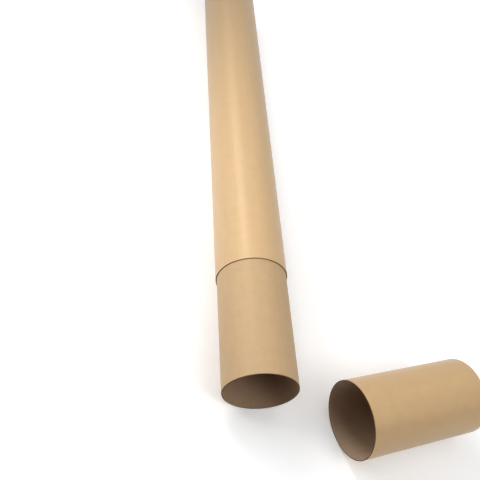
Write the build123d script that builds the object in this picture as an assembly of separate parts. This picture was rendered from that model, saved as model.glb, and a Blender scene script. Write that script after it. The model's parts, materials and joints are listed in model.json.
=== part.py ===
from build123d import *
from math import radians, sin
import os

# A kraft poster tube lying open on a flat surface, with its cap taken off beside the mouth.
# Millimetres, +Z up. The tube lies along Y and its mouth faces -Y. The origin is on the surface,
# under the middle of the whole arrangement.

# Tube stock: the outer tube and the cap are cut from one size, the inner tube from the next one down
BORE_RADIUS = 38.0        # inside of the inner tube, where the rolled sheets go
INNER_WALL = 1.0
OUTER_WALL = 1.0
SLIP_CLEARANCE = 0.15     # all round, between the inner tube and what fits over it

# Lengths
NECK_LENGTH = 136.0       # bare stretch of the inner tube, which the cap slides over
BODY_LENGTH = 605.0       # outer tube, turned-in rim included
CAP_HEADROOM = 6.0        # from the mouth to the cap's disc when the cap is pushed home

# Closed ends: the wall is turned in at a right angle, over a board disc
RIM_INSIDE = 0.4          # inside radius of the bend
RIM_WIDTH = 4.5           # from the tube's outside to the edge of the turned-in rim
DISC_THICKNESS = 2.0

# Where the cap lies
CAP_GAP = 43.4            # from the tube's side to the nearest point of the cap's mouth
CAP_AHEAD = 21.6          # from the tube's mouth forward to the middle of the cap's mouth
CAP_TURN = 16.0           # degrees from +X to the way the cap points

# Values that follow from those
neck_radius = BORE_RADIUS + INNER_WALL
sleeve_bore = neck_radius + SLIP_CLEARANCE
outer_radius = sleeve_bore + OUTER_WALL
rim_bend = RIM_INSIDE + OUTER_WALL
disc_radius = sleeve_bore - RIM_INSIDE
tube_length = NECK_LENGTH + BODY_LENGTH
inner_length = tube_length - OUTER_WALL - DISC_THICKNESS
cap_depth = NECK_LENGTH + CAP_HEADROOM
cap_length = cap_depth + DISC_THICKNESS + OUTER_WALL

# Every piece is drawn along +Y from a mouth at the origin, then put in its place
across_tube = Plane(origin=(0, 0, 0), x_dir=(1, 0, 0), z_dir=(0, 1, 0))


def wall_line(length, bend):
    """One face of the wall in section: straight from the mouth, then turned in by a bend."""
    wall = outer_radius - rim_bend + bend
    straight = Line((wall, 0), (wall, length - rim_bend))
    corner = JernArc(straight @ 1, (0, 1), bend, 90)
    rim = Line(corner @ 1, (outer_radius - RIM_WIDTH, (corner @ 1).Y))
    return [straight, corner, rim]


def closed_sleeve(length):
    """A tube with an open mouth, and a far end turned in at a constant thickness."""
    outside = wall_line(length, rim_bend)
    inside = wall_line(length, RIM_INSIDE)
    mouth_edge = Line(outside[0] @ 0, inside[0] @ 0)
    rim_edge = Line(outside[-1] @ 1, inside[-1] @ 1)
    section = make_face([*outside, *inside, mouth_edge, rim_edge])
    return revolve(section, Axis.Y)


def board_disc(depth):
    """The disc that closes an end, with its inner face at this depth from the mouth."""
    return extrude(across_tube.offset(depth) * Circle(disc_radius), DISC_THICKNESS)


def plain_tube(length):
    """The inner tube, cut square at both ends."""
    ring = Circle(neck_radius) - Circle(BORE_RADIUS)
    return extrude(across_tube * ring, length)


# The tube's axis lies over Y, and the cap points away at its own angle
tube_place = Pos(0, 0, outer_radius)
cap_heading = Rot(0, 0, CAP_TURN - 90)
mouth_half_width = outer_radius * sin(radians(CAP_TURN))
cap_aside = outer_radius + CAP_GAP + mouth_half_width
cap_place = Pos(cap_aside, -CAP_AHEAD, outer_radius) * cap_heading

pieces = {
    "outer_tube": tube_place * Pos(0, NECK_LENGTH, 0) * closed_sleeve(BODY_LENGTH),
    "inner_tube": tube_place * plain_tube(inner_length),
    "base_disc": tube_place * board_disc(inner_length),
    "cap_tube": cap_place * closed_sleeve(cap_length),
    "cap_disc": cap_place * board_disc(cap_depth),
}

# The origin goes to the middle of the arrangement's footprint
footprint = Compound(list(pieces.values())).bounding_box()
to_origin = Pos(-footprint.center().X, -footprint.center().Y, -footprint.min.Z)

os.makedirs("parts", exist_ok=True)
for name, piece in pieces.items():
    export_step(to_origin * piece, f"parts/{name}.step")
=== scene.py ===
import json
from math import cos, hypot, pi, radians, sin

import bmesh
import bpy
import numpy as np
from mathutils import Matrix, Vector


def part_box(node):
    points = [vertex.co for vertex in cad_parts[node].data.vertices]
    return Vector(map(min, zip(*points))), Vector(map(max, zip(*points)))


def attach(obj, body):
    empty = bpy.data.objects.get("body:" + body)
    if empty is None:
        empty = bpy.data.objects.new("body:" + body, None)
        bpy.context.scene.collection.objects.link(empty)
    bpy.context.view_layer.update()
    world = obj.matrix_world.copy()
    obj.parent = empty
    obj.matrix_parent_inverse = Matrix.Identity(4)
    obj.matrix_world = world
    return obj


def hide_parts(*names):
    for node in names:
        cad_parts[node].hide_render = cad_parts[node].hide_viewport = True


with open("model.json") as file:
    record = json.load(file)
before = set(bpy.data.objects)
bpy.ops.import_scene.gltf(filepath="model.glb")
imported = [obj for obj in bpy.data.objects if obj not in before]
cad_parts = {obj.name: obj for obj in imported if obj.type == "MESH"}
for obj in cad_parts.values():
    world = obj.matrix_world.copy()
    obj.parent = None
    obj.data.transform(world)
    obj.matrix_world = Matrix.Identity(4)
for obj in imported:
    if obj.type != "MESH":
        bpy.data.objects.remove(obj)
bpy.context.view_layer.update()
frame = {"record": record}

# A kraft poster tube lying open, with its cap taken off beside the mouth.
# Lengths in metres, in the row frame: +Z up, the tube along Y with its mouth towards -Y.

# Board and fits
INNER_WALL = 0.0010
OUTER_WALL = 0.0010
SLIP_CLEARANCE = 0.00015     # all round, between the inner tube and what fits over it
RIM_INSIDE = 0.0004          # inside radius of the bend at a closed end
RIM_WIDTH = 0.0045           # from the tube's outside to the edge of the turned-in rim
CUT_ROUNDING = 0.00016       # the knife leaves a cut edge this much rounded

# Fineness of the meshes
SEGMENTS = 256               # around every piece
RING_SPACING = 0.02          # along a straight wall
BEND_STEPS = 8               # in the bend at a closed end
EDGE_STEPS = 3               # in each rounded corner of a cut edge, and through the board
HOLD = 0.0003                # a ring this close to the end of a flat face keeps its shading flat
HELD_FROM = 4 * HOLD         # shorter faces have no such rings
WELD = 1e-6                  # points nearer than this are one point
SMOOTH_UP_TO = radians(40)   # edges that turn by more than this stay sharp

# Sizes and places from the frame
MM_PER_METRE = 1000
mounts = {mount["name"]: mount for mount in frame["record"]["mounts"]}
openings = {space["name"]: space["box_m"] for space in frame["record"]["physics"]["openings"]}
bore_radius = mounts["tube_bore"]["dims"]["r_mm"] / MM_PER_METRE
mouth = Vector(mounts["tube_bore"]["pos_m"])
neck_radius = bore_radius + INNER_WALL
sleeve_bore = neck_radius + SLIP_CLEARANCE
outer_radius = sleeve_bore + OUTER_WALL
rim_bend = RIM_INSIDE + OUTER_WALL
disc_radius = sleeve_bore - RIM_INSIDE
outer_low, outer_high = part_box("outer_tube")
_, inner_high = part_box("inner_tube")
base_low, base_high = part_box("base_disc")
neck_length = outer_low.y - mouth.y
body_length = outer_high.y - outer_low.y
inner_length = inner_high.y - mouth.y
disc_thickness = base_high.y - base_low.y


def middle(box):
    """The middle of a box given by its two corners."""
    return (Vector(box[0]) + Vector(box[1])) / 2


# The cap points along the line through the spaces in it, and its mouth reaches the low sides of its box
cap_way = (middle(openings["cap_end"]) - middle(openings["cap_mouth"])).normalized()
cap_low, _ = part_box("cap_tube")
cap_mouth_x = cap_low.x + outer_radius * cap_way.y
cap_mouth_y = cap_low.y + outer_radius * cap_way.x
cap_mouth = Vector((cap_mouth_x, cap_mouth_y, outer_radius))
cap_end = middle(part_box("cap_disc"))
cap_depth = (cap_end - cap_mouth).length - disc_thickness / 2
cap_length = cap_depth + disc_thickness + OUTER_WALL


def add_object(name, data):
    """Puts an object with this data in the scene."""
    made = bpy.data.objects.new(name, data)
    bpy.context.scene.collection.objects.link(made)
    return made


# Sections of the pieces, as points (radius, along, finish)

OUTSIDE, INSIDE, CUT = range(3)             # finishes, in the order of a piece's materials
OUT, ALONG, IN, BACK = 0, 90, 180, 270      # directions in a section, in degrees
RIGHT_ANGLE = 90


def straight(start, end, finish, spacing=RING_SPACING):
    """Points from start up to, but not including, end."""
    across = end[0] - start[0]
    ahead = end[1] - start[1]
    run = hypot(across, ahead)
    count = max(1, round(run / spacing))
    shares = {i / count for i in range(count)}
    if run > HELD_FROM and start[0] > 0:
        shares.add(HOLD / run)
    if run > HELD_FROM and end[0] > 0:
        shares.add(1 - HOLD / run)
    return [(start[0] + across * t, start[1] + ahead * t, finish) for t in sorted(shares)]


def bend(centre, radius, start, steps, finish, sense=1):
    """Points on a quarter of a circle from a start direction, without the last one."""
    angles = [radians(start + sense * RIGHT_ANGLE * i / steps) for i in range(steps)]
    return [(centre[0] + radius * cos(a), centre[1] + radius * sin(a), finish) for a in angles]


def cut_mouth(inner, outer):
    """The cut edge at along 0, from the inside to the outside, with both corners rounded."""
    soft = CUT_ROUNDING
    corner_in = bend((inner + soft, soft), soft, IN, EDGE_STEPS, CUT)
    face = straight((inner + soft, 0), (outer - soft, 0), CUT, OUTER_WALL / EDGE_STEPS)
    corner_out = bend((outer - soft, soft), soft, BACK, EDGE_STEPS, CUT)
    return corner_in + face + corner_out


def sleeve_profile(length):
    """Closed section of a tube with an open mouth and a turned-in far end."""
    soft = CUT_ROUNDING
    bend_radius = outer_radius - rim_bend
    bend_along = length - rim_bend
    rim_edge = outer_radius - RIM_WIDTH
    inside_end = length - OUTER_WALL
    points = cut_mouth(sleeve_bore, outer_radius)
    points += straight((outer_radius, soft), (outer_radius, bend_along), OUTSIDE)
    points += bend((bend_radius, bend_along), rim_bend, OUT, BEND_STEPS, OUTSIDE)
    points += straight((bend_radius, length), (rim_edge + soft, length), OUTSIDE)
    points += bend((rim_edge + soft, length - soft), soft, ALONG, EDGE_STEPS, CUT)
    points += straight((rim_edge, length - soft), (rim_edge, inside_end), CUT)
    points += straight((rim_edge, inside_end), (bend_radius, inside_end), INSIDE)
    points += bend((bend_radius, bend_along), RIM_INSIDE, ALONG, BEND_STEPS, INSIDE, sense=-1)
    points += straight((sleeve_bore, bend_along), (sleeve_bore, soft), INSIDE)
    return points


def tube_profile(length):
    """Closed section of the inner tube, cut square at both ends."""
    soft = CUT_ROUNDING
    points = cut_mouth(bore_radius, neck_radius)
    outer_corner = (neck_radius, soft, CUT)
    far_end = [(radius, length - along, CUT) for radius, along, _ in points[1:] + [outer_corner]]
    points += straight((neck_radius, soft), (neck_radius, length - soft), OUTSIDE)
    points += far_end[::-1]
    points += straight((bore_radius, length - soft), (bore_radius, soft), INSIDE)
    return points


def disc_profile(depth):
    """Section of a board disc from the middle of its inner face to the middle of its outer face."""
    soft = CUT_ROUNDING
    far = depth + disc_thickness
    edge_spacing = disc_thickness / EDGE_STEPS
    points = straight((0, depth), (disc_radius - soft, depth), INSIDE)
    points += bend((disc_radius - soft, depth + soft), soft, BACK, EDGE_STEPS, CUT)
    points += straight((disc_radius, depth + soft), (disc_radius, far - soft), CUT, edge_spacing)
    points += bend((disc_radius - soft, far - soft), soft, OUT, EDGE_STEPS, CUT)
    points += straight((disc_radius - soft, far), (0, far), OUTSIDE)
    points.append((0, far, OUTSIDE))
    return points


# Meshes of revolution

PAPER_MAP = "paper"          # UV map that holds metres of the paper sheet
once_around = np.linspace(-pi / 2, 3 * pi / 2, SEGMENTS + 1)    # from the underside, where the lap is


def ring_points(profile):
    """The points of each profile point's ring: rows, columns and coordinates."""
    radius = np.array([point[0] for point in profile])[:, None]
    along = np.array([point[1] for point in profile])[:, None]
    turn = once_around[:-1]
    return np.stack(np.broadcast_arrays(radius * np.cos(turn), along, radius * np.sin(turn)), -1)


def ring_faces(rows, bands):
    """The corners of the faces between each ring and the next, wound outwards."""
    row = np.arange(bands)[:, None]
    column = np.arange(SEGMENTS)
    next_row = (row + 1) % rows
    next_column = (column + 1) % SEGMENTS
    corners = ((row, column), (next_row, column), (next_row, next_column), (row, next_column))
    return np.stack([ring * SEGMENTS + point for ring, point in corners], -1).reshape(-1, 4)


def wrapped_paper(profile):
    """Metres around the tube and along its closed section, at every point."""
    section = np.array([point[:2] for point in profile + profile[:1]])
    reach = np.hypot(*np.diff(section, axis=0).T)
    run = np.concatenate([[0.0], np.cumsum(reach)])
    around = (once_around - once_around[0]) * outer_radius
    return np.stack(np.meshgrid(around, run), -1)


def flat_paper(grid):
    """Metres across a flat sheet, counted from outside the piece, at every point."""
    return np.concatenate([grid, grid[:, :1]], 1)[..., ::2] + 2 * outer_radius


def at_corners(sheet):
    """Values at the four corners of every face, from those at the points."""
    first_row, next_row = sheet[:-1], sheet[1:]
    return np.stack([first_row[:, :-1], next_row[:, :-1], next_row[:, 1:], first_row[:, 1:]], 2)


def weld_middle(mesh):
    """Makes one point of each ring that has no radius, in the middle of a disc."""
    work = bmesh.new()
    work.from_mesh(mesh)
    bmesh.ops.remove_doubles(work, verts=work.verts, dist=WELD)
    work.to_mesh(mesh)
    work.free()


def revolve(name, profile, place, closed):
    """An object whose mesh is a section turned about its own Y axis."""
    rows = len(profile)
    bands = rows if closed else rows - 1
    grid = ring_points(profile)
    sheet = wrapped_paper(profile) if closed else flat_paper(grid)
    finishes = [finish for _, _, finish in profile[:bands]]

    mesh = bpy.data.meshes.new(name)
    mesh.from_pydata(grid.reshape(-1, 3), [], ring_faces(rows, bands))
    mesh.uv_layers.new(name=PAPER_MAP).data.foreach_set("uv", at_corners(sheet).ravel())
    mesh.polygons.foreach_set("material_index", np.repeat(finishes, SEGMENTS))
    if not closed:
        weld_middle(mesh)
    mesh.transform(place)
    mesh.validate()
    mesh.shade_smooth()
    mesh.set_sharp_from_angle(angle=SMOOTH_UP_TO)
    return add_object(name, mesh)


# Help with nodes

MIX_INPUTS = (0, 6, 7)       # factor, first and second colour of a Mix node that mixes colours
MIX_OUTPUT = 2


def opaque(colour):
    """A colour with its alpha."""
    return (*colour, 1.0)


class Shader:
    """A few lines of help for wiring the nodes of a material or a world."""

    def __init__(self, owner):
        owner.use_nodes = True
        self.tree = owner.node_tree

    def node(self, kind, **settings):
        """A new node with these settings."""
        made = self.tree.nodes.new("ShaderNode" + kind)
        for key, value in settings.items():
            setattr(made, key, value)
        return made

    def put(self, socket, value):
        """Sets a socket to a constant, or links another node's output to it."""
        if isinstance(value, bpy.types.NodeSocket):
            self.tree.links.new(value, socket)
        else:
            socket.default_value = value

    def fill(self, sockets, values):
        """Puts the values in the sockets, in order."""
        for socket, value in zip(sockets, values):
            self.put(socket, value)

    def maths(self, operation, first, second=0.0, third=0.0):
        """The result of a Math node."""
        made = self.node("Math", operation=operation)
        self.fill(made.inputs, (first, second, third))
        return made.outputs[0]

    def blend(self, mode, share, first, second):
        """Two colours mixed."""
        made = self.node("Mix", data_type="RGBA", blend_type=mode)
        self.fill([made.inputs[i] for i in MIX_INPUTS], (share, first, second))
        return made.outputs[MIX_OUTPUT]

    def spread(self, value, low, high, to_low, to_high, smooth=False):
        """Maps a range onto another, clamped."""
        made = self.node("MapRange", interpolation_type="SMOOTHSTEP" if smooth else "LINEAR")
        self.fill(made.inputs, (value, low, high, to_low, to_high))
        return made.outputs[0]

    def combine(self, x, y, z):
        """A vector of three values."""
        made = self.node("CombineXYZ")
        self.fill(made.inputs, (x, y, z))
        return made.outputs[0]

    def tint(self, colour, shade):
        """A colour made lighter or darker."""
        return self.blend("MULTIPLY", 1.0, opaque(colour), self.combine(shade, shade, shade))


# Papers

# Layers of the texture: size around, size along, detail and roughness of the noise
CLOUDS = (0.011, 0.011, 3.0, 0.55)
FIBRES = (0.0035, 0.00022, 2.0, 0.6)
GRAIN = (0.00035, 0.00035, 1.0, 0.5)
STREAKS = (0.004, 0.16, 2.0, 0.6)
TEARS = (0.0016, 0.00025, 3.0, 0.6)

# The part of the noise's range that is used, and how far each layer shades the colour
CLOUD_RANGE = (0.3, 0.7)
NOISE_RANGE = (0.25, 0.75)
CLOUD_DEPTH = 0.03
FIBRE_DEPTH = 0.07
GRAIN_DEPTH = 0.04
STREAK_DEPTH = 0.02
GLOSS_DEPTH = 0.05           # how far the clouds change the roughness

# Specks: a cell of the texture each, dark in the middle and fading out
SPECK_SPACING = 0.009
SPECK_DARK = 0.00011         # radius
SPECK_FADED = 0.000484       # radius
SPECK_SHADE = 0.72

# Wear along a cut edge, where the paper is rubbed paler
WEAR_REACH = 0.0012
WEAR_RAGGED = 0.5            # how far the fibres move its border, as a share of the reach
WEAR_SHARE = 0.35
WEAR_PALER = 1.22

# Bumps, and the warm shine of the paper
PAPER_RELIEF = 0.00006
GRAIN_RELIEF = 0.5           # beside the fibres
KRAFT_SHINE = (1.0, 0.8, 0.56, 1.0)

# Cut edges: plies with glue between them
PLY = 0.00034
HALF_PLY = 0.5               # as a share of the ply
PLY_WAVE = 0.00012
GLUE_FROM = 0.32             # from the middle of a ply, as a share of the ply
GLUE_SHADE = 0.72
TEAR_SHADES = (0.82, 1.12)
CUT_ROUGHNESS = 0.92
CUT_SPECULAR = 0.15
CUT_BUMP = 0.6
CUT_RELIEF = 0.00008


def about(value, depth):
    """The two ends of a range with this value in its middle."""
    return value - depth, value + depth


def paper_coordinates(shader):
    """Metres around and along the wrapped sheet. Its lap is on the underside."""
    paper = shader.node("UVMap", uv_map=PAPER_MAP)
    split = shader.node("SeparateXYZ")
    shader.put(split.inputs[0], paper.outputs["UV"])
    return split.outputs[0], split.outputs[1]


def stretched(shader, place, around, along):
    """A place on the sheet, counted in these sizes."""
    across = shader.maths("DIVIDE", place[0], around)
    lengthwise = shader.maths("DIVIDE", place[1], along)
    return shader.combine(across, lengthwise, 0.0)


def paper_noise(shader, place, around, along, detail, rough):
    """Noise with a size around the sheet and a size along it."""
    made = shader.node("TexNoise")
    shader.put(made.inputs["Vector"], stretched(shader, place, around, along))
    made.inputs["Scale"].default_value = 1.0
    made.inputs["Detail"].default_value = detail
    made.inputs["Roughness"].default_value = rough
    return made.outputs["Fac"]


def speck_shade(shader, place):
    """Dark in a few small specks."""
    specks = shader.node("TexVoronoi")
    shader.put(specks.inputs["Vector"], stretched(shader, place, SPECK_SPACING, SPECK_SPACING))
    dark = SPECK_DARK / SPECK_SPACING
    faded = SPECK_FADED / SPECK_SPACING
    return shader.spread(specks.outputs["Distance"], dark, faded, SPECK_SHADE, 1.0, smooth=True)


def worn(shader, tinted, colour, fibres, along):
    """The tinted paper, rubbed paler along a cut edge."""
    ragged = shader.maths("MULTIPLY_ADD", fibres, -WEAR_RAGGED * WEAR_REACH, along)
    wear = shader.spread(ragged, 0.0, WEAR_REACH, WEAR_SHARE, 0.0, smooth=True)
    pale = [min(1.0, WEAR_PALER * channel) for channel in colour]
    return shader.blend("MIX", wear, tinted, opaque(pale))


def add_relief(shader, surface, height, strength, distance):
    """Bumps on a surface."""
    relief = shader.node("Bump")
    relief.inputs["Strength"].default_value = strength
    relief.inputs["Distance"].default_value = distance
    shader.put(relief.inputs["Height"], height)
    shader.put(surface.inputs["Normal"], relief.outputs["Normal"])


def kraft(name, colour, roughness, specular, contrast, bump):
    """Unbleached kraft paper: fibres around the tube, cloudy formation, faint streaks and specks."""
    material = bpy.data.materials.new(name)
    shader = Shader(material)
    surface = shader.tree.nodes["Principled BSDF"]
    place = paper_coordinates(shader)
    clouds = paper_noise(shader, place, *CLOUDS)
    fibres = paper_noise(shader, place, *FIBRES)
    grain = paper_noise(shader, place, *GRAIN)
    streaks = paper_noise(shader, place, *STREAKS)

    shade = shader.spread(clouds, *CLOUD_RANGE, *about(1, CLOUD_DEPTH * contrast))
    for texture, depth in ((fibres, FIBRE_DEPTH), (grain, GRAIN_DEPTH), (streaks, STREAK_DEPTH)):
        layer = shader.spread(texture, *NOISE_RANGE, *about(1, depth * contrast))
        shade = shader.maths("MULTIPLY", shade, layer)
    shade = shader.maths("MULTIPLY", shade, speck_shade(shader, place))
    tinted = shader.tint(colour, shade)
    shader.put(surface.inputs["Base Color"], worn(shader, tinted, colour, fibres, place[1]))

    gloss = shader.spread(clouds, *CLOUD_RANGE, *about(roughness, GLOSS_DEPTH))
    shader.put(surface.inputs["Roughness"], gloss)
    surface.inputs["Specular IOR Level"].default_value = specular
    surface.inputs["Specular Tint"].default_value = KRAFT_SHINE
    height = shader.maths("MULTIPLY_ADD", grain, GRAIN_RELIEF, fibres)
    add_relief(shader, surface, height, bump, PAPER_RELIEF)
    return material


def cut_board(name, colour):
    """A knife-cut edge of wound board: plies, glue lines and torn fibres."""
    material = bpy.data.materials.new(name)
    shader = Shader(material)
    surface = shader.tree.nodes["Principled BSDF"]
    place = paper_coordinates(shader)
    torn = paper_noise(shader, place, *TEARS)
    wavy = shader.maths("MULTIPLY_ADD", torn, PLY_WAVE, place[1])
    ply = shader.maths("FRACT", shader.maths("DIVIDE", wavy, PLY))
    off_middle = shader.maths("ABSOLUTE", shader.maths("SUBTRACT", ply, HALF_PLY))
    glue = shader.spread(off_middle, GLUE_FROM, HALF_PLY, 1.0, GLUE_SHADE, smooth=True)
    tear = shader.spread(torn, *NOISE_RANGE, *TEAR_SHADES)
    shade = shader.maths("MULTIPLY", glue, tear)
    shader.put(surface.inputs["Base Color"], shader.tint(colour, shade))
    surface.inputs["Roughness"].default_value = CUT_ROUGHNESS
    surface.inputs["Specular IOR Level"].default_value = CUT_SPECULAR
    add_relief(shader, surface, shader.maths("ADD", glue, torn), CUT_BUMP, CUT_RELIEF)
    return material


GLAZED_KRAFT = (0.609, 0.411, 0.219)
# The cap is the same glazed kraft as the outer tube; its colour is written about a tenth darker, as
# painted shade on the cap.
CAP_KRAFT_PAINTED_SHADE = (0.55, 0.366, 0.19)
PLAIN_KRAFT = (0.508, 0.345, 0.191)
BORE_KRAFT = (0.372, 0.245, 0.159)
LINING_KRAFT = (0.427, 0.3, 0.206)
# The cut-edge colour is partly the board's own darker cut fibres and partly painted shade: it is darker
# still so that the step where the neck enters the outer tube shows as a dark shaded line.
CUT_KRAFT_AND_SEAM_SHADE = (0.16, 0.1, 0.05)

GLAZED = {"roughness": 0.36, "specular": 0.45, "contrast": 0.8, "bump": 0.25}
PLAIN = {"roughness": 0.52, "specular": 0.45, "contrast": 1.0, "bump": 0.5}
RAW = {"roughness": 0.8, "specular": 0.25, "contrast": 1.2, "bump": 0.6}

glazed = kraft("kraft_glazed", GLAZED_KRAFT, **GLAZED)
# The glazed kraft again, darkened by painted shade for the cap.
cap_glazed_painted_shade = kraft("kraft_cap_painted_shade", CAP_KRAFT_PAINTED_SHADE, **GLAZED)
plain = kraft("kraft_plain", PLAIN_KRAFT, **PLAIN)
bore = kraft("kraft_bore", BORE_KRAFT, **RAW)
lining = kraft("kraft_lining", LINING_KRAFT, **RAW)
# Cut edges: the board's own colour with painted shade added, for the dark line at the seam.
cut_edge_and_seam_shade = cut_board("kraft_cut_edge", CUT_KRAFT_AND_SEAM_SHADE)


# The pieces

def add_piece(name, profile, place, finishes, closed=True):
    """Makes a piece that stands for the CAD node it is named after."""
    piece = revolve(name + "_paper", profile, place, closed)
    for material in finishes:
        piece.data.materials.append(material)
    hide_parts(name)
    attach(piece, "root")


tube_place = Matrix.Translation(mouth)
body_place = Matrix.Translation(mouth + Vector((0, neck_length, 0)))
cap_turn = Vector((0, 1, 0)).rotation_difference(cap_way).to_matrix().to_4x4()
cap_place = Matrix.Translation(cap_mouth) @ cap_turn

add_piece("outer_tube", sleeve_profile(body_length), body_place, (glazed, lining, cut_edge_and_seam_shade))
add_piece("inner_tube", tube_profile(inner_length), tube_place, (plain, bore, cut_edge_and_seam_shade))
add_piece("base_disc", disc_profile(inner_length), tube_place, (plain, lining, cut_edge_and_seam_shade), closed=False)
add_piece("cap_tube", sleeve_profile(cap_length), cap_place, (cap_glazed_painted_shade, lining, cut_edge_and_seam_shade))
add_piece("cap_disc", disc_profile(cap_depth), cap_place, (plain, lining, cut_edge_and_seam_shade), closed=False)


# Floor and background

FLOOR_SIZE = 8.0
FLOOR_WHITE = 0.9
FLOOR_LIFT = 0.183           # brightness added where the bare floor is seen directly
WORLD_LIGHT = 0.08           # light from all round, on what isn't seen directly
WHITE = (1.0, 1.0, 1.0)

# Rises of the lift: the point they lie around, the distances they begin and end at, and their height
mouth_spot = (mouth.x, mouth.y, 0)
middle_spot = (0, 0, 0)
LIFT_RISES = (
    (mouth_spot, 0.0, 0.816, 0.33),
    (middle_spot, 0.42, 0.75, 0.48),
)


def seen_directly(shader):
    """1 for rays that show a surface to the camera, straight or through gloss or glass."""
    path = shader.node("LightPath")
    seen = path.outputs["Is Camera Ray"]
    for other in ("Is Glossy Ray", "Is Transmission Ray"):
        seen = shader.maths("MAXIMUM", seen, path.outputs[other])
    return seen


def floor_lift(shader):
    """Brightness added to the floor: little by the mouth, more farther off, where the lamps are weaker."""
    place = shader.node("NewGeometry")
    lift = FLOOR_LIFT
    for spot, start, end, rise in LIFT_RISES:
        away = shader.node("VectorMath", operation="DISTANCE")
        shader.fill(away.inputs, (place.outputs["Position"], spot))
        step = shader.spread(away.outputs["Value"], start, end, 0.0, rise, smooth=True)
        lift = shader.maths("ADD", step, lift)
    return lift


def floor_material():
    """A matte white, lifted where it is seen directly."""
    material = bpy.data.materials.new("white_floor")
    shader = Shader(material)
    nodes = shader.tree.nodes
    nodes.remove(nodes["Principled BSDF"])
    matte = shader.node("BsdfDiffuse")
    matte.inputs["Color"].default_value = opaque([FLOOR_WHITE * channel for channel in WHITE])
    glow = shader.node("Emission")
    strength = shader.maths("MULTIPLY", seen_directly(shader), floor_lift(shader))
    shader.put(glow.inputs["Strength"], strength)
    both = shader.node("AddShader")
    shader.fill(both.inputs, (matte.outputs[0], glow.outputs[0]))
    shader.put(nodes["Material Output"].inputs["Surface"], both.outputs[0])
    return material


def make_floor():
    """A plain floor that the tube and the cap lie on."""
    half = FLOOR_SIZE / 2
    corners = [(-half, -half, 0), (half, -half, 0), (half, half, 0), (-half, half, 0)]
    mesh = bpy.data.meshes.new("floor")
    mesh.from_pydata(corners, [], [(0, 1, 2, 3)])
    mesh.materials.append(floor_material())
    floor = add_object("floor", mesh)


def make_world():
    """White where it is seen directly, and a weak even light for everything else."""
    world = bpy.data.worlds.new("studio")
    bpy.context.scene.world = world
    shader = Shader(world)
    background = shader.tree.nodes["Background"]
    background.inputs["Color"].default_value = opaque(WHITE)
    strength = shader.spread(seen_directly(shader), 0.0, 1.0, WORLD_LIGHT, 1.0)
    shader.put(background.inputs["Strength"], strength)


# Lamps

LIGHT_AIM = 0.2              # from the mouth along the tube to the point that the lamps face
OPEN = 180                   # spread of a lamp with no grid in front of it

# Name, direction from the point it faces, distance, size, watts and spread in degrees
SOFTBOXES = (
    ("overhead", (0.12, 0.0, 1.0), 1.1, 1.0, 1.33, 90),
    ("key", (-0.42, 0.4, 0.9), 1.1, 0.3, 0.46, 90),
    ("window", (-0.4, 0.6, 0.6), 5.0, 1.5, 53.0, OPEN),
    ("left", (-0.85, 0.15, 0.55), 0.85, 0.45, 0.81, 72),
    ("front_right", (0.5, -0.75, 0.95), 1.25, 0.6, 5.23, OPEN),
)


def add_softbox(name, towards, distance, size, power, spread):
    """A square lamp that faces the front half of the tube."""
    light = bpy.data.lights.new(name, "AREA")
    light.shape = "SQUARE"
    light.size = size
    light.energy = power
    light.spread = radians(spread)
    lamp = add_object(name, light)
    target = mouth + Vector((0, LIGHT_AIM, 0))
    way = Vector(towards).normalized()
    lamp.location = target + way * distance
    lamp.rotation_euler = (-way).to_track_quat("-Z", "Y").to_euler()


# Camera: it stands to the left of the mouth and is held tilted

IMAGE_WIDTH = 480            # of the photo, in pixels
FOCAL_PIXELS = 646.85
SENSOR_WIDTH = 36.0          # millimetres
CLIP_START = 0.01
CAMERA_FROM_MOUTH = Vector((-0.21536, -0.28174, 0.55167))
CAMERA_PITCH = radians(46.96)
CAMERA_YAW = radians(23.46)
CAMERA_ROLL = radians(26.64)


def add_camera():
    """The camera that sees the tube as in the photo."""
    flat = cos(CAMERA_PITCH)
    ahead = Vector((sin(CAMERA_YAW) * flat, cos(CAMERA_YAW) * flat, -sin(CAMERA_PITCH)))
    level = Vector((cos(CAMERA_YAW), -sin(CAMERA_YAW), 0))
    upright = level.cross(ahead)
    right = level * cos(CAMERA_ROLL) + upright * sin(CAMERA_ROLL)
    up = upright * cos(CAMERA_ROLL) - level * sin(CAMERA_ROLL)
    lens = bpy.data.cameras.new("camera")
    lens.sensor_width = SENSOR_WIDTH
    lens.lens = FOCAL_PIXELS / IMAGE_WIDTH * SENSOR_WIDTH
    lens.clip_start = CLIP_START
    camera = add_object("camera", lens)
    turned = Matrix((right, up, -ahead)).transposed().to_4x4()
    camera.matrix_world = Matrix.Translation(mouth + CAMERA_FROM_MOUTH) @ turned
    bpy.context.scene.camera = camera


make_floor()
make_world()
for softbox in SOFTBOXES:
    add_softbox(*softbox)
add_camera()
bpy.context.scene.view_settings.view_transform = "Standard"
